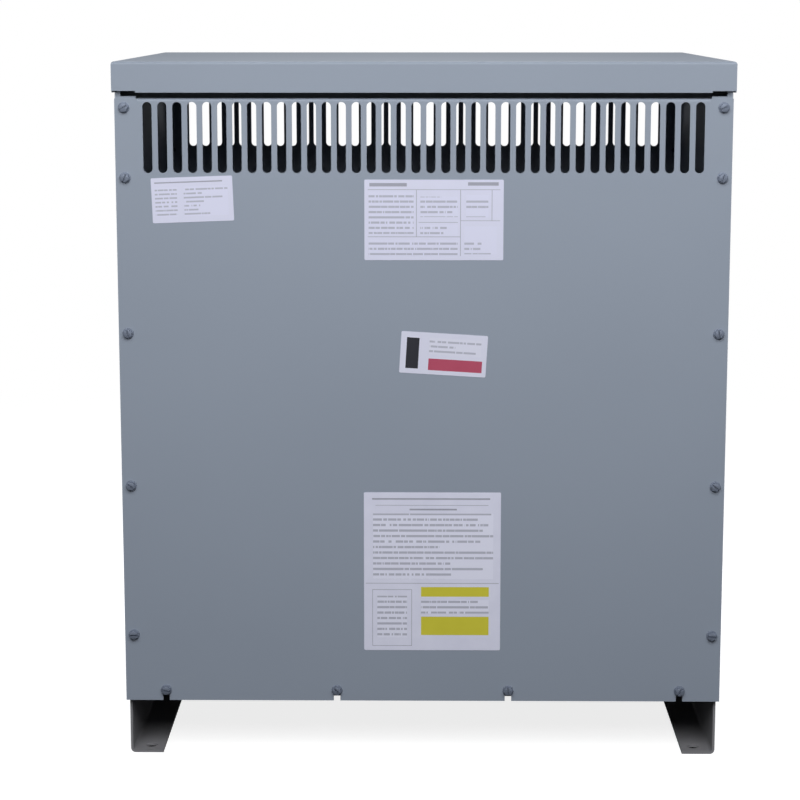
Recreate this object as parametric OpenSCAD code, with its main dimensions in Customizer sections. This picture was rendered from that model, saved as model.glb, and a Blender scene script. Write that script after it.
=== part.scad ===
// Ventilated dry-type power transformer in a folded sheet-steel cabinet.
// Millimetres, +Z up. The origin is on the floor under the centre, the front faces -Y.

/* [Cabinet] */
// Width over the side panels
body_w = 724; // [640:1:900]
// Depth over the front and rear panels
body_d = 540; // [480:1:700]
// Height of the front and rear panels
panel_h = 730; // [700:1:900]
// Thickness of the cabinet sheet
sheet = 2; // [1.5:0.1:2.5]
// Outside radius of a bend in the cabinet sheet
sheet_bend = 3.5; // [3.2:0.1:3.8]
// Width of the side panels' flanges, which the front and rear panels screw to
side_flange = 25; // [21:1:32]
// How far the side flanges rise past the panels' top edge
flange_rise = 2.5; // [1:0.5:4]
// Width of the flange strip that runs on up into the cover
corner_tab = 7; // [5:1:10]
// How far the panels hang below the top of the runners
panel_drop = 4; // [2:0.5:5]
// Depth of the lip along the top of the front and rear panels
panel_lip = 16; // [10:1:20]

/* [Top cover] */
// Height of the cover's skirt
skirt_h = 36; // [30:1:60]
// Open gap between the panels' top edge and the skirt
cover_gap = 7; // [5:0.5:10]
// How far the skirt stands out past the front and rear panels
cover_overhang = 6; // [5:1:30]
// Clearance between the side panels and the skirt
cover_clearance = 0.5; // [0.5:0.5:4]
// Width of the return along the skirt's lower edge
cover_return = 10; // [6:1:11]
// Length of the corner relief in that return
cover_relief = 28; // [20:1:40]

/* [Vent slots] */
// Spacing of the slots
slot_pitch = 17.5; // [15:0.5:24]
// Width of a slot
slot_w = 10.8; // [8:0.2:12.6]
// Height of a slot over its round ends
slot_h = 83; // [60:1:100]
// Height of the strip of sheet above the slots
slot_top = 4; // [4:0.5:12]
// Least distance from the panel's side edge to the first slot's centre
slot_margin = 38; // [34:1:60]

/* [Panel screws] */
// Clearance hole for a panel screw
screw_hole = 7; // [6:0.5:8]
// Thread hole in the flange or rail behind
pilot_hole = 5.5; // [5:0.1:5.9]
// Distance of the side screws from the panel's side edge
screw_inset = 11; // [9:0.5:13]
// Height of the lowest side screw above the panel's bottom edge
screw_low = 82.5; // [75:0.5:90]
// Spacing of the side screws
screw_pitch = 185; // [160:1:200]
// Distance of the topmost side screw from the panel's top edge
screw_top = 10.5; // [8:0.5:14]
// Height of the bottom screws above the panel's bottom edge
notch_h = 13; // [10:0.5:14]
// Width of the open notches over the bottom screws
notch_w = 8; // [7:0.5:10]
// Distance of the outer bottom screws from the panel's side edge
notch_margin = 49; // [42:1:80]
// Number of screws along the bottom edge
notch_count = 4; // [2:1:6]

/* [Base] */
// Height of the base runners
runner_h = 74; // [60:1:120]
// Width of the runners' flanges
runner_flange = 40; // [36:1:50]
// Distance of a runner's outer face in from the side panel
runner_inset = 3; // [0:0.5:3.5]
// Distance of a runner's end behind the panel's outer face
runner_setback = 10; // [6:1:20]
// Thickness of the base steel
base_t = 3; // [2.5:0.1:4]
// Outside radius of a bend in the base steel
base_bend = 6; // [5:0.5:7]
// Leg of the front and rear base rails
rail_leg = 40; // [36:1:50]
// Diameter of a floor anchor hole
anchor_hole = 14; // [10:0.5:16]
// Distance of an anchor hole from the runner's outer face
anchor_in = 24; // [20:1:26]
// Distance of an anchor hole from the runner's end
anchor_end = 20; // [14:1:40]
// Height of the core bearers
bearer_h = 30; // [24:1:40]
// Thickness of the rubber isolation pads
pad_t = 12; // [8:1:20]

/* [Core] */
// Width of a core leg
leg_w = 85; // [70:1:95]
// Height of a yoke
yoke_h = 85; // [70:1:95]
// Depth of the lamination stack
stack_d = 105; // [90:1:125]
// Height of the core window
window_h = 360; // [320:1:385]
// Thickness of the core clamps
clamp_t = 4; // [3:0.5:5]
// Width of the core clamps' flanges
clamp_flange = 50; // [48:1:54]
// Length of a clamp past each end of the core
clamp_over = 10; // [4:1:20]

/* [Windings] */
// Space between a leg and its inner winding
leg_clearance = 6; // [4:0.5:8]
// Build of an inner winding
lv_build = 16; // [12:0.5:18]
// Width of the cooling duct between the windings
duct = 12; // [9:0.5:14]
// Build of an outer winding
hv_build = 13; // [10:0.5:15]
// Space between neighbouring outer windings
coil_gap = 11; // [6:1:20]
// Space between an inner winding and the yoke
lv_end = 10; // [10:0.5:14]
// Space between an outer winding and the yoke
hv_end = 20; // [19:0.5:26]

/* [Terminals] */
// Width of a terminal bar
bar_w = 30; // [24:1:36]
// Thickness of a terminal bar
bar_t = 5; // [4:0.5:6]
// Height of a terminal bar above its winding
bar_h = 112; // [80:1:130]
// Diameter of a terminal hole
bar_hole = 11; // [9:0.5:14]
// Height of a tap board
tap_h = 240; // [180:1:280]
// Width of a tap board
tap_w = 44; // [36:1:56]

/* [Hidden] */
$fn = 48;

// How far a cut runs past the face it opens
cut = 1;
half_w = body_w / 2;
half_d = body_d / 2;
// Depth of the side panels, between the front and rear panels
side_d = body_d - 2 * sheet;
// Clear width between the side flanges
inner_w = body_w - 2 * side_flange;

// Heights, from the floor up
panel_z = runner_h - panel_drop;
panel_top = panel_z + panel_h;
skirt_z = panel_top + cover_gap;
cover_top = skirt_z + skirt_h;
side_top = cover_top - sheet;
side_h = side_top - runner_h;
flange_cut_z = panel_top + flange_rise;

// Vent slots
slot_count = floor((body_w - 2 * slot_margin) / slot_pitch) + 1;
slot_x0 = -(slot_count - 1) * slot_pitch / 2;
slot_z = panel_h - slot_top - slot_h;

// Panel screws
screw_x = half_w - screw_inset;
screw_clear = 60;
screw_rows = floor((panel_h - screw_low - screw_top - screw_clear) / screw_pitch);
side_screws = concat([for (i = [0 : screw_rows]) screw_low + i * screw_pitch], [panel_h - screw_top]);
notch_step = (body_w - 2 * notch_margin) / (notch_count - 1);
notch_xs = [for (i = [0 : notch_count - 1]) notch_margin - half_w + i * notch_step];

// Lip along the panels' top edge, clear of the side flanges
lip_clearance = 2;
lip_w = inner_w - 2 * lip_clearance;

// Base
runner_x = half_w - runner_inset;
runner_d = body_d - 2 * runner_setback;
anchor_x = runner_x - anchor_in;
anchor_y = runner_d / 2 - anchor_end;
bearer_flange = 40;
bearer_z = runner_h;
pad_z = bearer_z + bearer_h;
pad_size = [50, 36];
pad_x = 170;

// Top rails, set back in the shade behind the gap under the cover
top_rail_back = 32;
top_rail_leg = 30;
top_rail_drop = 3;
top_rail_h = side_top - sheet - panel_top + top_rail_drop;
top_flange = 18;

// Core
core_z = pad_z + pad_t;
window_z = core_z + yoke_h;
upper_z = window_z + window_h;
half_stack = stack_d / 2;
lv_in = leg_clearance;
lv_out = lv_in + lv_build;
hv_in = lv_out + duct;
hv_out = hv_in + hv_build;
leg_pitch = leg_w + 2 * hv_out + coil_gap;
core_w = 2 * leg_pitch + leg_w;
clamp_len = core_w + 2 * clamp_over;
clamp_bend = 7;
bearer_y = half_stack + clamp_flange / 2;

// Windings
lv_z = window_z + lv_end;
lv_h = window_h - 2 * lv_end;
hv_z = window_z + hv_end;
hv_h = window_h - 2 * hv_end;
coil_corner = 4;
stick_w = 8;
stick_side_step = 36;
stick_front_step = 32;
block_w = 24;
block_x = bar_w / 2 + 8 + block_w / 2;

// Terminals
bar_reach = half_stack + hv_out + 30;
bar_bend = bar_t + 3;
bar_z = lv_z + lv_h;
bar_hole_top = 16;
bar_hole_step = 32;
neutral_h = 80;
neutral_bar_h = 30;
tap_t = 6;
tap_hole = 9;
tap_count = 7;
tap_margin = 24;

// Outline of a bent sheet: a block with both left corners rounded
module channel_block(w, h, r) {
  translate([r, 0]) square([w - r, h]);
  translate([0, r]) square([w, h - 2 * r]);
  for (y = [r, h - r]) translate([r, y]) circle(r);
}

// Channel section, its web on the left and its flanges to the right
module channel_section(web, flange, t, r) {
  difference() {
    channel_block(flange, web, r);
    translate([t, t]) channel_block(flange, web - 2 * t, r - t);
  }
}

// Outline of a bent sheet with one rounded corner at the origin
module angle_block(w, h, r) {
  translate([r, 0]) square([w - r, h]);
  translate([0, r]) square([w, h - r]);
  translate([r, r]) circle(r);
}

// Angle section, its bend at the origin
module angle_section(w, h, t, r) {
  difference() {
    angle_block(w, h, r);
    translate([t, t]) angle_block(w, h, r - t);
  }
}

// Rectangle about the centre with round corners
module round_rect(w, d, r) {
  square([w - 2 * r, d], center = true);
  square([w, d - 2 * r], center = true);
  for (x = [r - w / 2, w / 2 - r])
    for (y = [r - d / 2, d / 2 - r]) translate([x, y]) circle(r);
}

// Runs a section drawn in Y and Z along X
module along_x(len) {
  rotate([90, 0, 90]) linear_extrude(len, center = true) children();
}

// Runs a section drawn in X and Z along Y
module along_y(len) {
  rotate([90, 0, 0]) linear_extrude(len, center = true) children();
}

// Turns a front piece to the rear
module to_rear() {
  rotate([0, 0, 180]) children();
}

// Turns a left piece to the right
module to_right() {
  mirror([1, 0, 0]) children();
}

// One upright slot with round ends, standing on its lower end
module vent_slot() {
  r = slot_w / 2;
  translate([-r, r]) square([slot_w, slot_h - slot_w]);
  for (z = [r, slot_h - r]) translate([0, z]) circle(r);
}

// Open notch in the panel's bottom edge, which drops over a bottom screw
module screw_notch() {
  r = notch_w / 2;
  translate([-r, -cut]) square([notch_w, notch_h + cut]);
  translate([0, notch_h]) circle(r);
}

// Flat sheet of a front or rear panel
module panel_sheet() {
  difference() {
    translate([-half_w, 0]) square([body_w, panel_h]);
    translate([-lip_w / 2, panel_h - sheet_bend]) square([lip_w, sheet_bend + cut]);
    for (i = [0 : slot_count - 1]) translate([slot_x0 + i * slot_pitch, slot_z]) vent_slot();
    for (x = [-screw_x, screw_x])
      for (z = side_screws) translate([x, z]) circle(d = screw_hole);
    for (x = notch_xs) translate([x, 0]) screw_notch();
  }
}

// Lip bent back from the panel's top edge, its outer corner at the origin
module lip_section() {
  translate([sheet_bend, -sheet]) square([panel_lip - sheet_bend, sheet]);
  difference() {
    intersection() {
      translate([sheet_bend, -sheet_bend]) circle(sheet_bend);
      translate([0, -sheet_bend]) square(sheet_bend);
    }
    translate([sheet_bend, -sheet_bend]) circle(sheet_bend - sheet);
  }
}

// Front panel: sheet with a lip bent back along its top edge
module front_panel() {
  color("#8e98a6") {
    translate([0, sheet - half_d, panel_z]) rotate([90, 0, 0]) linear_extrude(sheet) panel_sheet();
    translate([0, -half_d, panel_top]) along_x(lip_w) lip_section();
  }
}

// Rear panel, the front panel's twin
module rear_panel() {
  to_rear() front_panel();
}

// Thread holes for the side screws, through both flanges of a side panel
module flange_holes() {
  for (z = side_screws) translate([-screw_x, 0, panel_z + z])
    rotate([90, 0, 0]) cylinder(d = pilot_hole, h = body_d, center = true);
}

// Corner relief that leaves a narrow strip of each flange above the panels
module flange_relief() {
  relief_w = side_flange - corner_tab + cut;
  for (y = [-side_d / 2 - cut, side_d / 2 - sheet - cut])
    translate([corner_tab - half_w, y, flange_cut_z])
      cube([relief_w, sheet + 2 * cut, side_top - flange_cut_z + cut]);
}

// Left side panel: a pan with flanges front, rear, top and bottom
module left_side_panel() {
  color("#8a94a2") difference() {
    union() {
      translate([-half_w, -side_d / 2, runner_h]) linear_extrude(side_h)
        channel_section(side_d, side_flange, sheet, sheet_bend);
      translate([-half_w + sheet / 2, sheet - side_d / 2, runner_h])
        cube([side_flange - sheet / 2, side_d - 2 * sheet, sheet]);
      translate([-half_w + sheet / 2, sheet - side_d / 2, side_top - sheet])
        cube([top_flange, side_d - 2 * sheet, sheet]);
    }
    flange_relief();
    flange_holes();
  }
}

// Right side panel, the left one mirrored
module right_side_panel() {
  to_right() left_side_panel();
}

// Rail under the cover, tying the side panels together behind the gap
module top_rail_front() {
  color("#7d8794") translate([0, top_rail_back - half_d, side_top - sheet]) mirror([0, 0, 1])
    along_x(body_w - 2 * sheet) angle_section(top_rail_leg, top_rail_h, sheet, sheet_bend);
}

// Rear rail under the cover
module top_rail_rear() {
  to_rear() top_rail_front();
}

// Upright block with its four top edges rounded
module cover_block(w, d, h, r) {
  intersection() {
    along_y(d) cover_outline(w, h, r);
    along_x(w) cover_outline(d, h, r);
  }
}

// Side view of that block, standing on the line
module cover_outline(w, h, r) {
  translate([-w / 2, 0]) square([w, h - r]);
  translate([r - w / 2, 0]) square([w - 2 * r, h]);
  for (x = [r - w / 2, w / 2 - r]) translate([x, h - r]) circle(r);
}

// Top cover: a folded tray turned over, with a return along its lower edges
module top_cover() {
  w = body_w + 2 * (cover_clearance + sheet);
  d = body_d + 2 * cover_overhang;
  color("#929ba8") translate([0, 0, skirt_z]) {
    difference() {
      cover_block(w, d, skirt_h, sheet_bend);
      translate([0, 0, -cut])
        cover_block(w - 2 * sheet, d - 2 * sheet, skirt_h - sheet + cut, sheet_bend - sheet);
      for (x = [-w / 2 - cut, w / 2 - cover_relief])
        for (y = [-d / 2 - cut, d / 2 - sheet - cut])
          translate([x, y, -cut]) cube([cover_relief + cut, sheet + 2 * cut, sheet + cut]);
    }
    for (y = [sheet / 2 - d / 2, d / 2 - sheet / 2 - cover_return])
      translate([cover_relief - w / 2, y, 0]) cube([w - 2 * cover_relief, cover_return, sheet]);
  }
}

// Left base runner: a channel from front to rear with two anchor holes
module base_runner_left() {
  color("#5f666f") difference() {
    translate([-runner_x, 0, 0]) along_y(runner_d)
      channel_section(runner_h, runner_flange, base_t, base_bend);
    for (y = [-anchor_y, anchor_y]) translate([-anchor_x, y, -cut])
      cylinder(d = anchor_hole, h = base_t + 2 * cut);
  }
}

// Right base runner
module base_runner_right() {
  to_right() base_runner_left();
}

// Front base rail: an angle on the runners that takes the bottom screws
module base_rail_front() {
  color("#7d8794") difference() {
    translate([0, -side_d / 2, runner_h]) along_x(inner_w)
      angle_section(rail_leg, rail_leg, base_t, base_bend);
    for (x = notch_xs) translate([x, -side_d / 2 - cut, panel_z + notch_h])
      rotate([-90, 0, 0]) cylinder(d = pilot_hole, h = base_t + 2 * cut);
  }
}

// Rear base rail
module base_rail_rear() {
  to_rear() base_rail_front();
}

// Channel across the runners that carries the front of the core
module core_bearer_front() {
  color("#4b5058") translate([0, -bearer_y - bearer_flange / 2, bearer_z])
    along_x(inner_w) channel_section(bearer_h, bearer_flange, base_t, base_bend);
}

// Channel that carries the rear of the core
module core_bearer_rear() {
  to_rear() core_bearer_front();
}

// Rubber pads between the bearers and the lower clamps
module isolation_pads() {
  color("#24262a") for (x = [-pad_x, pad_x])
    for (y = [-bearer_y, bearer_y])
      translate([x - pad_size[0] / 2, y - pad_size[1] / 2, pad_z]) cube([pad_size[0], pad_size[1], pad_t]);
}

// Core clamp: a channel against the face of a yoke, its flanges outward
module core_clamp(z) {
  color("#555c66") translate([0, -half_stack, z]) mirror([0, 1, 0])
    along_x(clamp_len) channel_section(yoke_h, clamp_flange, clamp_t, clamp_bend);
}

// Clamp on the front of the lower yoke
module lower_clamp_front() {
  core_clamp(core_z);
}

// Clamp on the rear of the lower yoke
module lower_clamp_rear() {
  to_rear() core_clamp(core_z);
}

// Clamp on the front of the upper yoke
module upper_clamp_front() {
  core_clamp(upper_z);
}

// Clamp on the rear of the upper yoke
module upper_clamp_rear() {
  to_rear() core_clamp(upper_z);
}

// Yoke of stacked laminations
module yoke(z) {
  color("#6b6e72") translate([-core_w / 2, -half_stack, z]) cube([core_w, stack_d, yoke_h]);
}

// Yoke under the windings
module core_lower_yoke() {
  yoke(core_z);
}

// Yoke over the windings
module core_upper_yoke() {
  yoke(upper_z);
}

// Leg of stacked laminations
module core_leg(side) {
  color("#6b6e72") translate([side * leg_pitch - leg_w / 2, -half_stack, window_z])
    cube([leg_w, stack_d, window_h]);
}

// Leg of the left phase
module core_leg_left() {
  core_leg(-1);
}

// Leg of the middle phase
module core_leg_middle() {
  core_leg(0);
}

// Leg of the right phase
module core_leg_right() {
  core_leg(1);
}

// Winding about a leg, between two distances from the leg's faces
module winding(side, inner, outer, z, h) {
  translate([side * leg_pitch, 0, z]) linear_extrude(h) difference() {
    round_rect(leg_w + 2 * outer, stack_d + 2 * outer, coil_corner + outer);
    round_rect(leg_w + 2 * inner, stack_d + 2 * inner, coil_corner + inner);
  }
}

// Inner, low-voltage winding
module lv_winding(side) {
  color("#b59a62") winding(side, lv_in, lv_out, lv_z, lv_h);
}

// Inner winding of the left phase
module lv_winding_left() {
  lv_winding(-1);
}

// Inner winding of the middle phase
module lv_winding_middle() {
  lv_winding(0);
}

// Inner winding of the right phase
module lv_winding_right() {
  lv_winding(1);
}

// Outer, high-voltage winding
module hv_winding(side) {
  color("#a98a4e") winding(side, hv_in, hv_out, hv_z, hv_h);
}

// Outer winding of the left phase
module hv_winding_left() {
  hv_winding(-1);
}

// Outer winding of the middle phase
module hv_winding_middle() {
  hv_winding(0);
}

// Outer winding of the right phase
module hv_winding_right() {
  hv_winding(1);
}

// Sticks that hold the cooling duct open, on the four flat sides of a winding
module duct_sticks(side) {
  color("#c7b48a") translate([side * leg_pitch, 0, hv_z]) {
    for (i = [-1 : 1])
      for (y = [-half_stack - hv_in, half_stack + lv_out])
        translate([i * stick_front_step - stick_w / 2, y, 0]) cube([stick_w, duct, hv_h]);
    for (i = [-1 : 1])
      for (x = [-leg_w / 2 - hv_in, leg_w / 2 + lv_out])
        translate([x, i * stick_side_step - stick_w / 2, 0]) cube([duct, stick_w, hv_h]);
  }
}

// Duct sticks of the left phase
module duct_sticks_left() {
  duct_sticks(-1);
}

// Duct sticks of the middle phase
module duct_sticks_middle() {
  duct_sticks(0);
}

// Duct sticks of the right phase
module duct_sticks_right() {
  duct_sticks(1);
}

// Stepped block between a clamp and the ends of both windings, drawn in Y and Z
module block_section() {
  step_y = half_stack + lv_out + duct / 2;
  translate([half_stack + lv_in, 0]) square([hv_out - lv_in, lv_end]);
  translate([step_y, 0]) square([half_stack + hv_out - step_y, hv_end]);
}

// The blocks along one clamp's flange
module block_row() {
  for (side = [-1 : 1])
    for (x = [-block_x, block_x])
      translate([side * leg_pitch + x, 0, 0]) along_x(block_w) block_section();
}

// Blocks that carry the windings on the lower clamps
module coil_blocks_lower() {
  color("#7a3b2c") translate([0, 0, window_z]) {
    block_row();
    to_rear() block_row();
  }
}

// Blocks that hold the windings down under the upper clamps
module coil_blocks_upper() {
  color("#7a3b2c") translate([0, 0, upper_z]) mirror([0, 0, 1]) {
    block_row();
    to_rear() block_row();
  }
}

// Bar from the top of an inner winding, forward and up past the clamp
module bent_bar(side, h) {
  len = bar_reach - half_stack - lv_in;
  translate([side * leg_pitch, -bar_reach, bar_z]) along_x(bar_w)
    angle_section(len, h, bar_t, bar_bend);
}

// Terminal bar with two holes for cable lugs
module lv_terminal(side) {
  color("#b9bcc0") difference() {
    bent_bar(side, bar_h);
    for (i = [0 : 1])
      translate([side * leg_pitch, -bar_reach - cut, bar_z + bar_h - bar_hole_top - i * bar_hole_step])
        rotate([-90, 0, 0]) cylinder(d = bar_hole, h = bar_t + 2 * cut);
  }
}

// Terminal bar of the left phase
module lv_terminal_left() {
  lv_terminal(-1);
}

// Terminal bar of the middle phase
module lv_terminal_middle() {
  lv_terminal(0);
}

// Terminal bar of the right phase
module lv_terminal_right() {
  lv_terminal(1);
}

// Bar that joins the three inner windings at the rear
module neutral_bar() {
  len = 2 * leg_pitch + bar_w;
  color("#b9bcc0") to_rear() difference() {
    union() {
      for (side = [-1 : 1]) bent_bar(side, neutral_h);
      translate([-len / 2, -bar_reach, bar_z + neutral_h - neutral_bar_h]) cube([len, bar_t, neutral_bar_h]);
    }
    translate([leg_pitch / 2, -bar_reach - cut, bar_z + neutral_h - neutral_bar_h / 2])
      rotate([-90, 0, 0]) cylinder(d = bar_hole, h = bar_t + 2 * cut);
  }
}

// Board on the face of an outer winding that holds its tap studs
module tap_board(side) {
  step = (tap_h - 2 * tap_margin) / (tap_count - 1);
  color("#5d4630") translate([side * leg_pitch, -half_stack - hv_out, hv_z + (hv_h - tap_h) / 2])
    rotate([90, 0, 0]) linear_extrude(tap_t) difference() {
      translate([-tap_w / 2, 0]) square([tap_w, tap_h]);
      for (i = [0 : tap_count - 1]) translate([0, tap_margin + i * step]) circle(d = tap_hole);
    }
}

// Tap board of the left phase
module tap_board_left() {
  tap_board(-1);
}

// Tap board of the middle phase
module tap_board_middle() {
  tap_board(0);
}

// Tap board of the right phase
module tap_board_right() {
  tap_board(1);
}

base_runner_left();
base_runner_right();
base_rail_front();
base_rail_rear();
core_bearer_front();
core_bearer_rear();
left_side_panel();
right_side_panel();
front_panel();
rear_panel();
top_rail_front();
top_rail_rear();
top_cover();
isolation_pads();
lower_clamp_front();
lower_clamp_rear();
upper_clamp_front();
upper_clamp_rear();
core_lower_yoke();
core_upper_yoke();
core_leg_left();
core_leg_middle();
core_leg_right();
lv_winding_left();
lv_winding_middle();
lv_winding_right();
hv_winding_left();
hv_winding_middle();
hv_winding_right();
duct_sticks_left();
duct_sticks_middle();
duct_sticks_right();
coil_blocks_lower();
coil_blocks_upper();
lv_terminal_left();
lv_terminal_middle();
lv_terminal_right();
neutral_bar();
tap_board_left();
tap_board_middle();
tap_board_right();
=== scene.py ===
import math

import bpy
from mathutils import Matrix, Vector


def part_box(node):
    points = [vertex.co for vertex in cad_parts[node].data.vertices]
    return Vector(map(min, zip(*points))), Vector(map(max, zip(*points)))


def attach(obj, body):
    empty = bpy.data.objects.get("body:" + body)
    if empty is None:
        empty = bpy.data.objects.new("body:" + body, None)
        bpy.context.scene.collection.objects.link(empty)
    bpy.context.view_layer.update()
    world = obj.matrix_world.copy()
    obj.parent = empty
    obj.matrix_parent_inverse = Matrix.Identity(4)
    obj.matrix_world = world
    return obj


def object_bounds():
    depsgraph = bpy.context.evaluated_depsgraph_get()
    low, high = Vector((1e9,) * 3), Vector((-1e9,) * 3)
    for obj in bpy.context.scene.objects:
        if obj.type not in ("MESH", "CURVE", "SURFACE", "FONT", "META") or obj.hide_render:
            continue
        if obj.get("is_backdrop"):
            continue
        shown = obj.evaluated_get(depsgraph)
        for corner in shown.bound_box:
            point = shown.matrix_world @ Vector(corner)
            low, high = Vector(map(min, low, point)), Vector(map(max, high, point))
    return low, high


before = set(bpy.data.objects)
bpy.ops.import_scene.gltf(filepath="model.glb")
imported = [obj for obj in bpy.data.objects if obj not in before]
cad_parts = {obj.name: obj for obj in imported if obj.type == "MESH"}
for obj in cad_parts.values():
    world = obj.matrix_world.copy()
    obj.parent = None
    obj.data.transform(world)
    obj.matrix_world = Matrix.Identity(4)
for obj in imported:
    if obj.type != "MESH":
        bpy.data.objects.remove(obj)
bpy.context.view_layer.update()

# The camera stands in front of the middle of the cabinet, a little above its top.
# It looks slightly down, so that a thin strip of the cover's top face shows.
look_down, look_left = 9.715, 0.583
bpy.ops.object.camera_add(
    location=(0, -2.970, 0.905),
    rotation=(math.radians(90 - look_down), 0, math.radians(look_left)),
)
camera = bpy.context.object
camera.name = "photo_camera"
camera.data.sensor_width = 36
camera.data.lens = 103.2
bpy.context.scene.camera = camera
bpy.context.scene.view_settings.view_transform = "Standard"


# Base and frame: folded channels and angles of powder-coated steel. The runners stand
# on the floor, the rails tie the sides together, and the bearers carry the core. They
# are welded or bolted to each other and to the side panels.
def linear(hex_colour):
    """Linear RGBA of an sRGB hex colour."""
    parts = [int(hex_colour[i : i + 2], 16) / 255 for i in (1, 3, 5)]
    return [c / 12.92 if c <= 0.04045 else ((c + 0.055) / 1.055) ** 2.4 for c in parts] + [1]


def add_node(tree, kind, inputs=(), **settings):
    """Adds a node with its settings. An input is a value or another node's output, and
    goes by its socket's name or number: a colour mix takes its two colours at 6 and 7,
    and gives its result at 2."""
    made = tree.nodes.new(kind)
    for name, value in settings.items():
        setattr(made, name, value)
    for name, value in dict(inputs).items():
        if isinstance(value, bpy.types.NodeSocket):
            tree.links.new(value, made.inputs[name])
        else:
            made.inputs[name].default_value = value
    return made


def start_material(name, **shader):
    """A material with its principled shader set; returns it with its tree and shader."""
    made = bpy.data.materials.new(name)
    made.use_nodes = True
    tree = made.node_tree
    surface = tree.nodes["Principled BSDF"]
    for socket, value in shader.items():
        surface.inputs[socket.replace("_", " ")].default_value = value
    return made, tree, surface


def dress(material, *nodes):
    """Gives CAD nodes one material."""
    for name in nodes:
        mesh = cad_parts[name].data
        mesh.materials.clear()
        mesh.materials.append(material)


def powder_coat(name, colour, shade, roughness):
    """Powder coat on steel: an even satin film with the fine dimples of orange peel.
    A slow drift of tone stands for handling and dust. The dimples are about 1 mm in
    life and are drawn at 2.5 mm so that they show."""
    drift_size, dimple_size, dimple_depth = 0.22, 0.0025, 0.0004
    made, tree, surface = start_material(name, Roughness=roughness, IOR=1.5)
    place = add_node(tree, "ShaderNodeTexCoord").outputs["Object"]
    drift = add_node(
        tree, "ShaderNodeTexNoise", {"Vector": place, "Scale": 1 / drift_size, "Detail": 3.0},
    )
    tone = add_node(
        tree, "ShaderNodeMix",
        {"Factor": drift.outputs["Fac"], 6: linear(colour), 7: linear(shade)}, data_type="RGBA",
    )
    tree.links.new(tone.outputs[2], surface.inputs["Base Color"])
    peel = add_node(
        tree, "ShaderNodeTexNoise", {"Vector": place, "Scale": 1 / dimple_size, "Detail": 1.0},
    )
    bump = add_node(
        tree, "ShaderNodeBump",
        {"Height": peel.outputs["Fac"], "Strength": 0.10, "Distance": dimple_depth},
    )
    tree.links.new(bump.outputs["Normal"], surface.inputs["Normal"])
    return made


# The runners' coat is more neutral and duller than the cabinet's.
runner_paint = powder_coat("powder_coat_dull_grey", "#87878b", "#808084", 0.68)
dress(runner_paint, "base_runner_left", "base_runner_right")

# The coat of the rails and bearers is darker, with a little more gloss.
frame_paint = powder_coat("powder_coat_frame_grey", "#6f7680", "#686f79", 0.5)
dress(
    frame_paint,
    "base_rail_front", "base_rail_rear", "top_rail_front", "top_rail_rear",
    "core_bearer_front", "core_bearer_rear",
)


# Isolation pads: blocks of black neoprene rubber between the bearers and the core's
# lower clamps, cut from sheet, which keep the core's hum off the cabinet.
def grained(name, colour, shade, grain, depth, **shader):
    """A finish whose tone and height follow one noise. Grain is the noise's size in
    metres along X, Y and Z, so that a long size gives streaks along that axis."""
    made, tree, surface = start_material(name, **shader)
    place = add_node(tree, "ShaderNodeTexCoord").outputs["Object"]
    spread = add_node(
        tree, "ShaderNodeMapping", {"Vector": place, "Scale": [1 / size for size in grain]},
    )
    noise = add_node(
        tree, "ShaderNodeTexNoise", {"Vector": spread.outputs[0], "Scale": 1.0, "Detail": 4.0},
    )
    tone = add_node(
        tree, "ShaderNodeMix",
        {"Factor": noise.outputs["Fac"], 6: linear(colour), 7: linear(shade)}, data_type="RGBA",
    )
    tree.links.new(tone.outputs[2], surface.inputs["Base Color"])
    bump = add_node(
        tree, "ShaderNodeBump",
        {"Height": noise.outputs["Fac"], "Strength": 0.4, "Distance": depth},
    )
    tree.links.new(bump.outputs["Normal"], surface.inputs["Normal"])
    return made


# Neoprene: matt and nearly black. The fine grain of the sheet it was cut from is drawn
# at 3 mm so that it shows.
neoprene = grained(
    "neoprene_rubber", "#232326", "#161618", (0.003, 0.003, 0.003), 0.0003,
    Roughness=0.85, IOR=1.52,
)
dress(neoprene, "isolation_pads")


# Core: three legs and two yokes stacked from thin sheets of silicon steel, varnished
# and held between painted channel clamps.

# Silicon steel laminations lie across Y. A real sheet is 0.3 mm thick; the bands are
# drawn at 3 mm so that they show. Varnish leaves the edges dark and half glossy.
wave_unit = 2 * math.pi / 20  # width of a band in a wave texture of scale 1
sheet_band = 0.003
lamination, tree, surface = start_material(
    "varnished_silicon_steel", Metallic=0.6, Roughness=0.42,
)
place = add_node(tree, "ShaderNodeTexCoord").outputs["Object"]
sheets = add_node(
    tree, "ShaderNodeTexWave",
    {
        "Vector": place, "Scale": wave_unit / sheet_band,
        "Distortion": 1.5, "Detail": 2.0, "Detail Scale": 1.0,
    },
    wave_type="BANDS", bands_direction="Y", wave_profile="SAW",
)
tone = add_node(
    tree, "ShaderNodeMix",
    {"Factor": sheets.outputs["Fac"], 6: linear("#4b4641"), 7: linear("#2f2c29")}, data_type="RGBA",
)
tree.links.new(tone.outputs[2], surface.inputs["Base Color"])
bump = add_node(
    tree, "ShaderNodeBump",
    {"Height": sheets.outputs["Fac"], "Strength": 0.3, "Distance": 0.0003},
)
tree.links.new(bump.outputs["Normal"], surface.inputs["Normal"])
dress(
    lamination,
    "core_lower_yoke", "core_upper_yoke", "core_leg_left", "core_leg_middle", "core_leg_right",
)

# Baked enamel on the clamps: dark grey, with more gloss than the cabinet's coat.
clamp_paint = powder_coat("baked_enamel_grey", "#5c6168", "#545960", 0.4)
dress(
    clamp_paint,
    "lower_clamp_front", "lower_clamp_rear", "upper_clamp_front", "upper_clamp_rear",
)


# Clamp bolts: plated hex bolts that draw the clamps together through the yokes, five
# along each clamp, each on a plain washer.

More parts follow.
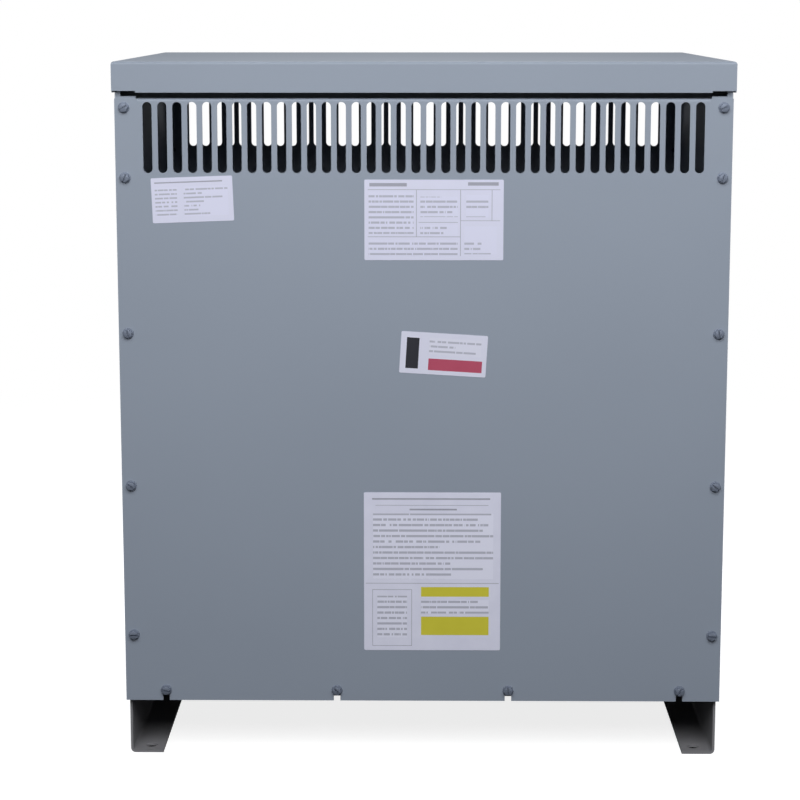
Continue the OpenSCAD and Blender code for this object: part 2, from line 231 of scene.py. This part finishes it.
# Zinc plate on steel: a grey metal, half bright. The fine grain of the plating is drawn
# at 1.5 mm so that it shows.
bolt_metal = grained(
    "zinc_plated_steel", "#6d7076", "#565960", (0.0015, 0.0015, 0.0015), 0.00005,
    Metallic=1.0, Roughness=0.4,
)


def hex_fastener(washer_r, washer_h, head_r, head_h, slot_w=0.0, rod_r=0.0, rod_h=0.0):
    """A hex head or nut on its washer, standing on Z = 0: with a screwdriver slot across
    it, or on a stud that stands rod_h high."""
    parts = []
    for sides, radius, foot, top, edge in (
        (32, washer_r, 0, washer_h, 0.0005),
        (6, head_r, washer_h / 2, head_h, 0.0007),
        (24, rod_r, head_h / 2, rod_h, 0.0008),
    ):
        if not radius:
            continue
        bpy.ops.object.select_all(action="DESELECT")
        bpy.ops.mesh.primitive_cylinder_add(
            vertices=sides, radius=radius, depth=top - foot, location=(0, 0, (foot + top) / 2),
        )
        part = bpy.context.object
        bpy.ops.object.transform_apply(location=True, rotation=True, scale=True)
        # The rim of the upper end is rounded.
        bpy.ops.object.mode_set(mode="EDIT")
        bpy.ops.mesh.select_mode(type="FACE")
        bpy.ops.mesh.select_all(action="DESELECT")
        bpy.ops.object.mode_set(mode="OBJECT")
        for face in part.data.polygons:
            face.select = face.normal.z > 0.9
        bpy.ops.object.mode_set(mode="EDIT")
        bpy.ops.mesh.bevel(offset=edge, segments=2)
        bpy.ops.object.mode_set(mode="OBJECT")
        parts.append(part)
    whole = parts[0]
    tools = [(part, "UNION") for part in parts[1:]]
    if slot_w:
        slot_depth = 0.4 * head_h
        bpy.ops.object.select_all(action="DESELECT")
        bpy.ops.mesh.primitive_cube_add(size=1, location=(0, 0, head_h))
        bpy.context.object.scale = (4 * head_r, slot_w, 2 * slot_depth)
        bpy.ops.object.transform_apply(location=True, rotation=True, scale=True)
        tools.append((bpy.context.object, "DIFFERENCE"))
    bpy.ops.object.select_all(action="DESELECT")
    bpy.context.view_layer.objects.active = whole
    whole.select_set(True)
    for tool, operation in tools:
        step = whole.modifiers.new("shape", "BOOLEAN")
        step.operation = operation
        step.object = tool
        step.solver = "EXACT"
        bpy.ops.object.modifier_apply(modifier=step.name)
    bpy.ops.object.select_all(action="DESELECT")
    for tool, operation in tools:
        tool.select_set(True)
    bpy.ops.object.delete()
    return whole


def seat(model, name, place, rear, turn, material):
    """Seats a copy of a fastener on a face that looks to the front or to the rear."""
    copy = model.copy()
    copy.data = model.data.copy()
    copy.name = name
    bpy.context.collection.objects.link(copy)
    bpy.ops.object.select_all(action="DESELECT")
    bpy.context.view_layer.objects.active = copy
    copy.select_set(True)
    copy.rotation_euler = (math.radians(-90 if rear else 90), turn, 0)
    copy.location = place
    bpy.ops.object.transform_apply(location=True, rotation=True, scale=True)
    copy.data.materials.append(material)
    bpy.ops.object.shade_smooth_by_angle(angle=math.radians(30))
    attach(copy, "root")


def scrap(model):
    """Deletes the model that copies were made from."""
    bpy.ops.object.select_all(action="DESELECT")
    model.select_set(True)
    bpy.ops.object.delete()


bolt = hex_fastener(washer_r=0.0110, washer_h=0.0020, head_r=0.0095, head_h=0.0085)
clamp_t, yoke_h, leg_pitch = 0.004, 0.085, 0.190
for clamp in ("lower_clamp_front", "upper_clamp_front", "lower_clamp_rear", "upper_clamp_rear"):
    low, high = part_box(clamp)
    rear = clamp.endswith("rear")
    web = low.y + clamp_t if rear else high.y - clamp_t
    for number in range(5):
        place = ((number - 2) * leg_pitch / 2, web, low.z + yoke_h / 2)
        turn = math.radians(23 * number)
        seat(bolt, f"{clamp}_bolt_{number + 1}", place, rear, turn, bolt_metal)
scrap(bolt)


# Windings: wire and strip wound on the legs, wrapped in insulating paper and dipped in
# varnish, with glass-polyester sticks that hold the air duct open between the two.

# Baked varnish over paper wrap: brown, half glossy, with a turn's edge every 7 mm.
turn_band, varnish_pool = 0.007, 0.04
wrap, tree, surface = start_material("varnished_paper_wrap", Roughness=0.34, IOR=1.55)
place = add_node(tree, "ShaderNodeTexCoord").outputs["Object"]
turns = add_node(
    tree, "ShaderNodeTexWave",
    {"Vector": place, "Scale": wave_unit / turn_band, "Distortion": 0.4, "Detail": 2.0},
    wave_type="BANDS", bands_direction="Z", wave_profile="SIN",
)
pool = add_node(
    tree, "ShaderNodeTexNoise", {"Vector": place, "Scale": 1 / varnish_pool, "Detail": 4.0},
)
tone = add_node(
    tree, "ShaderNodeMix",
    {"Factor": pool.outputs["Fac"], 6: linear("#75491f"), 7: linear("#472a12")}, data_type="RGBA",
)
tree.links.new(tone.outputs[2], surface.inputs["Base Color"])
bump = add_node(
    tree, "ShaderNodeBump",
    {"Height": turns.outputs["Fac"], "Strength": 0.5, "Distance": 0.0008},
)
tree.links.new(bump.outputs["Normal"], surface.inputs["Normal"])
dress(
    wrap,
    "lv_winding_left", "lv_winding_middle", "lv_winding_right",
    "hv_winding_left", "hv_winding_middle", "hv_winding_right",
)

# Glass-polyester bar: cream, drawn through a die, so its streaks run up the stick.
stick_bar = grained(
    "glass_polyester_bar", "#bfae8a", "#a8956f", (0.002, 0.002, 0.06), 0.0002,
    Roughness=0.55, IOR=1.52,
)
dress(stick_bar, "duct_sticks_left", "duct_sticks_middle", "duct_sticks_right")

# Pressboard: cellulose board, brown and matt, with a mottle of about 10 mm.
pressboard = grained(
    "varnished_pressboard", "#86683f", "#6d5230", (0.010, 0.010, 0.010), 0.0002,
    Roughness=0.6, IOR=1.5,
)
dress(pressboard, "coil_blocks_lower", "coil_blocks_upper")


# Terminals: bars of tinned aluminium from the inner windings, and a board of laminate
# on each outer winding that carries the studs of its taps.

# Tinned aluminium: bright and soft-looking, rolled, so its streaks run along X. They are
# finer in life and are drawn 1.5 mm wide so that they show.
tinned_bar = grained(
    "tinned_aluminium_bar", "#c0c2c4", "#a9abae", (0.05, 0.0015, 0.0015), 0.00005,
    Metallic=1.0, Roughness=0.36,
)
dress(tinned_bar, "lv_terminal_left", "lv_terminal_middle", "lv_terminal_right", "neutral_bar")

# Phenolic laminate: dark brown board of pressed paper and resin, with a low gloss.
laminate = grained(
    "phenolic_laminate", "#5f3a22", "#4c2d19", (0.020, 0.020, 0.006), 0.0001,
    Roughness=0.45, IOR=1.6,
)
dress(laminate, "tap_board_left", "tap_board_middle", "tap_board_right")


# Tap studs: brass studs through the boards' holes, each with a nut on a washer, where
# the leads of the outer winding end.

# Brass: yellow and softly worn, turned on a lathe. Its fine grain is drawn at 1.2 mm so
# that it shows.
stud_metal = grained(
    "turned_brass", "#a98645", "#8f7038", (0.0012, 0.0012, 0.0012), 0.00005,
    Metallic=1.0, Roughness=0.35,
)
stud = hex_fastener(
    washer_r=0.0085, washer_h=0.0016, head_r=0.0074, head_h=0.0081, rod_r=0.0040, rod_h=0.0180,
)
tap_count, tap_margin = 7, 0.024
for phase in ("left", "middle", "right"):
    low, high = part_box("tap_board_" + phase)
    step = (high.z - low.z - 2 * tap_margin) / (tap_count - 1)
    for number in range(tap_count):
        place = ((low.x + high.x) / 2, low.y, low.z + tap_margin + number * step)
        turn = math.radians(17 * number)
        seat(stud, f"tap_stud_{phase}_{number + 1}", place, False, turn, stud_metal)
scrap(stud)


# Cabinet: 2 mm sheet steel, sheared, punched and folded, then powder coated in one
# light blue-grey. The panels are screwed to the side panels' flanges, and the cover
# sits over them as a tray turned upside down.
cabinet_paint = powder_coat("powder_coat_blue_grey", "#939dac", "#8e98a7", 0.55)
dress(
    cabinet_paint,
    "left_side_panel", "right_side_panel", "front_panel", "rear_panel", "top_cover",
)


# Panel screws: steel hex washer heads with a screwdriver slot, five down each side of a
# panel and four along its bottom edge, driven into the flange or rail behind.

# Zinc flake coat: dull grey flakes in a binder, so only half metal to the eye. The flakes
# are finer in life and are drawn at 1.5 mm so that they show.
screw_metal = grained(
    "zinc_flake_coated_steel", "#7d8697", "#717a8b", (0.0015, 0.0015, 0.0015), 0.00005,
    Metallic=0.4, Roughness=0.55,
)
screw = hex_fastener(
    washer_r=0.0066, washer_h=0.0014, head_r=0.0055, head_h=0.0055, slot_w=0.0018,
)
screw_inset, screw_low, screw_pitch, screw_top = 0.011, 0.0825, 0.185, 0.0105
notch_margin, notch_h, notch_count = 0.049, 0.013, 4
panel_low, panel_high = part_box("front_panel")
notch_step = (panel_high.x - panel_low.x - 2 * notch_margin) / (notch_count - 1)
screw_rows = [screw_low + number * screw_pitch for number in range(4)]
screw_rows.append(panel_high.z - panel_low.z - screw_top)
screw_places = [
    (x, row) for x in (panel_low.x + screw_inset, panel_high.x - screw_inset) for row in screw_rows
]
screw_places += [
    (panel_low.x + notch_margin + number * notch_step, notch_h) for number in range(notch_count)
]
for panel in ("front_panel", "rear_panel"):
    low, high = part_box(panel)
    rear = panel == "rear_panel"
    face = high.y if rear else low.y
    for number, (x, row) in enumerate(screw_places):
        place = (x, face, low.z + row)
        turn = math.radians(37 * number % 180)
        seat(screw, f"{panel}_screw_{number + 1}", place, rear, turn, screw_metal)
scrap(screw)


# Labels: four sheets of white printed vinyl on the front panel, stuck on by hand, two
# of them a little askew. Their print is plain rules, bars and grey lines.
label_t = 0.0003
corner_r = 0.0015


def print_lines(name, x, z, width, turn, row, paper):
    """Printed vinyl under a satin film, for a label at x, z that is turned by turn. Grey
    lines of print are row apart, broken into words and ragged at the right."""
    half_stroke = 0.2  # half of a line's height, as a share of row
    word_grain, word_gap = 0.0022, 0.36  # noise of 2.2 mm, cut so that words are about 5 mm
    line_shift = 3.7  # how far the noise moves on from line to line
    made, tree, surface = start_material(name, Roughness=0.38, IOR=1.5)
    place = add_node(tree, "ShaderNodeTexCoord").outputs["Object"]
    local = add_node(
        tree, "ShaderNodeMapping",
        {"Vector": place, "Location": (x, 0, z), "Rotation": (0, turn, 0)}, vector_type="TEXTURE",
    )
    axes = add_node(tree, "ShaderNodeSeparateXYZ", {"Vector": local.outputs[0]}).outputs
    line = add_node(tree, "ShaderNodeMath", {0: axes["Z"], 1: row}, operation="DIVIDE").outputs[0]
    number = add_node(tree, "ShaderNodeMath", {0: line}, operation="FLOOR").outputs[0]
    across = add_node(tree, "ShaderNodeMath", {0: line}, operation="FRACT").outputs[0]
    stroke = add_node(
        tree, "ShaderNodeMath", {0: across, 1: 0.5, 2: half_stroke}, operation="COMPARE",
    ).outputs[0]
    along = add_node(
        tree, "ShaderNodeMath", {0: axes["X"], 1: word_grain}, operation="DIVIDE",
    ).outputs[0]
    apart = add_node(
        tree, "ShaderNodeMath", {0: number, 1: line_shift}, operation="MULTIPLY",
    ).outputs[0]
    spot = add_node(tree, "ShaderNodeCombineXYZ", {"X": along, "Y": apart}).outputs[0]
    words = add_node(
        tree, "ShaderNodeTexNoise", {"Vector": spot, "Scale": 1.0, "Detail": 0.0},
    ).outputs["Fac"]
    word = add_node(
        tree, "ShaderNodeMath", {0: words, 1: word_gap}, operation="GREATER_THAN",
    ).outputs[0]
    chance = add_node(
        tree, "ShaderNodeTexWhiteNoise", {"W": number}, noise_dimensions="1D",
    ).outputs["Value"]
    end = add_node(
        tree, "ShaderNodeMapRange", {"Value": chance, "To Min": 0.05 * width, "To Max": 0.6 * width},
    ).outputs["Result"]
    before = add_node(
        tree, "ShaderNodeMath", {0: axes["X"], 1: end}, operation="LESS_THAN",
    ).outputs[0]
    ink = add_node(tree, "ShaderNodeMath", {0: stroke, 1: word}, operation="MULTIPLY").outputs[0]
    ink = add_node(tree, "ShaderNodeMath", {0: ink, 1: before}, operation="MULTIPLY").outputs[0]
    tone = add_node(
        tree, "ShaderNodeMix", {"Factor": ink, 6: linear(paper), 7: linear("#b5b7c7")},
        data_type="RGBA",
    )
    tree.links.new(tone.outputs[2], surface.inputs["Base Color"])
    return made


def label(name, x, z, width, height, turn, row, paper, patches):
    """One label. Patches are its printed fields as (kind, left, top, right, bottom) in
    millimetres from its upper left corner, where kind is lines or a printed colour."""
    finishes = {"lines": print_lines("vinyl_lines_" + name, x, z, width, turn, row, paper)}
    used = {"blank"} | {patch[0] for patch in patches}
    # Vinyl in its paper's or a printed colour, satin, with a faint cloud of 20 mm.
    for kind, colour, shade in (
        ("blank", paper, "#d8daee"),
        ("rule", "#a6a8b6", "#9fa1af"),
        ("bar", "#2c2d36", "#25262e"),
        ("yellow", "#d6cf45", "#cdc63d"),
        ("red", "#b8516a", "#b04a63"),
    ):
        if kind in used:
            finishes[kind] = grained(
                f"vinyl_{kind}_{name}", colour, shade, (0.02, 0.02, 0.02), 0.00002,
                Roughness=0.38, IOR=1.5,
            )
    kinds = list(finishes)

    # The sheet is drawn flat, cut along the edges of its fields, and then thickened.
    bpy.ops.object.select_all(action="DESELECT")
    bpy.ops.mesh.primitive_plane_add(size=1)
    sheet = bpy.context.object
    sheet.name = name
    sheet.scale = (width, height, 1)
    bpy.ops.object.transform_apply(location=True, rotation=True, scale=True)
    bpy.ops.object.mode_set(mode="EDIT")
    bpy.ops.mesh.select_all(action="SELECT")
    bpy.ops.mesh.bevel(offset=corner_r, segments=4, affect="VERTICES")
    fields = []
    for kind, left, top, right, bottom in patches:
        columns = (left / 1000 - width / 2, right / 1000 - width / 2)
        rows = (height / 2 - top / 1000, height / 2 - bottom / 1000)
        fields.append((kind, columns, rows))
    for cut in sorted({edge for kind, columns, rows in fields for edge in columns}):
        bpy.ops.mesh.select_all(action="SELECT")
        bpy.ops.mesh.bisect(plane_co=(cut, 0, 0), plane_no=(1, 0, 0))
    for cut in sorted({edge for kind, columns, rows in fields for edge in rows}):
        bpy.ops.mesh.select_all(action="SELECT")
        bpy.ops.mesh.bisect(plane_co=(0, cut, 0), plane_no=(0, 1, 0))
    bpy.ops.object.mode_set(mode="OBJECT")
    for kind in kinds:
        sheet.data.materials.append(finishes[kind])
    for face in sheet.data.polygons:
        face.material_index = kinds.index("blank")
        for kind, (left, right), (top, bottom) in fields:
            if left < face.center.x < right and bottom < face.center.y < top:
                face.material_index = kinds.index(kind)
    bpy.ops.object.mode_set(mode="EDIT")
    bpy.ops.mesh.select_all(action="SELECT")
    bpy.ops.mesh.extrude_region_move(TRANSFORM_OT_translate={"value": (0, 0, label_t)})
    bpy.ops.mesh.select_all(action="SELECT")
    bpy.ops.mesh.normals_make_consistent(inside=False)
    bpy.ops.object.mode_set(mode="OBJECT")
    sheet.rotation_euler = (math.pi / 2, turn, 0)
    sheet.location = (x, panel_low.y, z)
    bpy.ops.object.transform_apply(location=True, rotation=True, scale=True)
    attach(sheet, "root")


label(
    "test_label", -0.272, 0.682, 0.096, 0.053, math.radians(-2.1), 0.0048, "#dcdef4",
    [
        ("rule", 4, 5, 84, 6.5), ("lines", 4, 11, 30, 46), ("lines", 38, 11, 90, 46),
    ],
)
label(
    "rating_plate", 0.0125, 0.658, 0.164, 0.095, 0, 0.0062, "#dcdef4",
    [
        ("rule", 6, 4, 50, 8), ("rule", 122, 3, 158, 7), ("rule", 4, 11.5, 160, 12.1),
        ("lines", 5, 15, 58, 64), ("rule", 61, 12.1, 61.7, 67), ("lines", 66, 20, 110, 44),
        ("rule", 64, 50, 110, 50.6), ("lines", 66, 53, 110, 66), ("rule", 113, 12.1, 113.7, 90),
        ("lines", 120, 18, 146, 44), ("rule", 150, 12.1, 150.7, 48), ("rule", 113.7, 48, 160, 48.6),
        ("lines", 118, 55, 156, 88), ("rule", 4, 67, 113, 67.7), ("lines", 5, 71, 110, 90),
    ],
)
label(
    "service_label", 0.0243, 0.498, 0.103, 0.050, math.radians(3.4), 0.0058, "#dddff0",
    [
        ("bar", 7, 7, 22, 44), ("lines", 34, 6, 96, 26), ("red", 34, 31, 98, 45),
    ],
)
label(
    "mounting_label", 0.0115, 0.232, 0.165, 0.196, 0, 0.0068, "#e6e8fa",
    [
        ("rule", 10, 7, 152, 9), ("rule", 14, 15.5, 150, 16.1), ("rule", 55, 20, 112, 22),
        ("lines", 11, 26, 156, 107), ("rule", 2, 112, 163, 112.7),
        ("rule", 10, 120, 58, 120.6), ("rule", 10, 190, 58, 190.6), ("rule", 10, 120.6, 10.6, 190),
        ("rule", 57.4, 120.6, 58, 190), ("lines", 16, 128, 52, 180),
        ("yellow", 69, 117, 151, 129), ("lines", 69, 133, 151, 150), ("yellow", 69, 154, 151, 177),
    ],
)


# Floor and light: a plain pale floor that keeps the object's shadow and goes over into
# white away from it. Soft light comes from a wide lamp above the front, with weaker
# lamps to the sides and behind.
floor_size = 80
white_from, white_to = 0.8, 2.6  # metres from the middle, between which the floor whitens
near_glow, mirror_glow = 0.82, 0.3
strip_x, strip_half_w, strip_half_d = 0.338, 0.018, 0.258
bpy.ops.object.select_all(action="DESELECT")
bpy.ops.mesh.primitive_plane_add(size=floor_size, location=(0, 0, 0))
floor = bpy.context.object
floor.name = "floor"
# Matt studio floor: to the camera it glows nearly white, and wholly white far out. To
# other rays it is dark, so that it throws little light back at the object.
floor_paint, tree, surface = start_material(
    "studio_floor", Roughness=0.9, Specular_IOR_Level=0.0, Emission_Color=(1, 1, 1, 1),
)
rays = add_node(tree, "ShaderNodeLightPath").outputs
mirrored = add_node(
    tree, "ShaderNodeMath", {0: rays["Is Glossy Ray"], 1: rays["Is Transmission Ray"]},
    operation="MAXIMUM",
).outputs[0]
place = add_node(tree, "ShaderNodeTexCoord").outputs["Object"]
reach = add_node(tree, "ShaderNodeVectorMath", {0: place}, operation="LENGTH").outputs["Value"]
far = add_node(
    tree, "ShaderNodeMapRange", {"Value": reach, "From Min": white_from, "From Max": white_to},
    interpolation_type="SMOOTHSTEP",
).outputs["Result"]
# Painted shade: under the runners' flanges the floor's glow is cut and its colour is darkened, so
# that it shows dark in their holes, where no light falls.
axes = add_node(tree, "ShaderNodeSeparateXYZ", {"Vector": place}).outputs
aside = add_node(tree, "ShaderNodeMath", {0: axes["X"]}, operation="ABSOLUTE").outputs[0]
under = add_node(
    tree, "ShaderNodeMath", {0: aside, 1: strip_x, 2: strip_half_w}, operation="COMPARE",
).outputs[0]
along = add_node(
    tree, "ShaderNodeMath", {0: axes["Y"], 1: 0.0, 2: strip_half_d}, operation="COMPARE",
).outputs[0]
under = add_node(tree, "ShaderNodeMath", {0: under, 1: along}, operation="MULTIPLY").outputs[0]
# Painted shade: no glow on the floor under the runners' flanges.
glow = add_node(tree, "ShaderNodeMix", {"Factor": under, "A": near_glow, "B": 0.0}).outputs["Result"]
glow = add_node(tree, "ShaderNodeMix", {"Factor": far, "A": glow, "B": 1.0}).outputs["Result"]
glow = add_node(
    tree, "ShaderNodeMath", {0: glow, 1: rays["Is Camera Ray"]}, operation="MULTIPLY",
).outputs[0]
shine = add_node(tree, "ShaderNodeMath", {0: mirrored, 1: far}, operation="MULTIPLY").outputs[0]
shine = add_node(
    tree, "ShaderNodeMath", {0: shine, 1: mirror_glow}, operation="MULTIPLY",
).outputs[0]
glow = add_node(tree, "ShaderNodeMath", {0: glow, 1: shine}, operation="MAXIMUM").outputs[0]
tree.links.new(glow, surface.inputs["Emission Strength"])
own = add_node(
    tree, "ShaderNodeMix",
    {"Factor": rays["Is Camera Ray"], 6: linear("#3a3a3a"), 7: linear("#b0b0b0")}, data_type="RGBA",
).outputs[2]
# Painted shade: the floor's colour is darkened under the runners' flanges.
own = add_node(
    tree, "ShaderNodeMix", {"Factor": under, 6: own, 7: linear("#202020")}, data_type="RGBA",
).outputs[2]
own = add_node(
    tree, "ShaderNodeMix", {"Factor": far, 6: own, 7: (0, 0, 0, 1)}, data_type="RGBA",
).outputs[2]
tree.links.new(own, surface.inputs["Base Color"])
floor.data.materials.append(floor_paint)
floor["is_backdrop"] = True

# The world is white to the camera alone, and lights the object weakly from all round.
ambient = (0.155, 0.157, 0.161, 1)
world = bpy.data.worlds.new("studio_world")
world.use_nodes = True
bpy.context.scene.world = world
tree = world.node_tree
rays = add_node(tree, "ShaderNodeLightPath").outputs
tone = add_node(
    tree, "ShaderNodeMix",
    {"Factor": rays["Is Camera Ray"], 6: ambient, 7: (1, 1, 1, 1)}, data_type="RGBA",
)
tree.links.new(tone.outputs[2], tree.nodes["Background"].inputs["Color"])

# The low lamp behind is a narrow strip close to the rear panel, placed so that its light
# neither comes in view through the slots nor reaches the front of the base.
for name, place, aim, wide, tall, power in (
    ("lamp_front_top", (0.03, -2.0, 1.85), (0, 0, 1.1), 2.6, 1.5, 55),
    ("lamp_left", (-3.2, 0, 0.9), (0, 0, 0.45), 1.0, 1.0, 42),
    ("lamp_right", (3.2, 0, 0.9), (0, 0, 0.45), 1.0, 1.0, 42),
    ("lamp_rear_top", (0, 1.9, 2.95), (0, 0.2, 0.45), 1.2, 1.2, 28),
    ("lamp_rear_low", (0, 0.97, 0.42), (0, 0.27, 0.42), 0.8, 0.2, 3.0),
):
    bpy.ops.object.light_add(type="AREA", location=place)
    lamp = bpy.context.object
    lamp.name = name
    lamp.data.shape = "RECTANGLE"
    lamp.data.size = wide
    lamp.data.size_y = tall
    lamp.data.energy = power
    way = [a - b for a, b in zip(aim, place)]
    flat = math.hypot(way[0], way[1])
    lamp.rotation_euler = (math.atan2(flat, -way[2]), 0, math.atan2(-way[0], way[1]))

low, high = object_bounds()
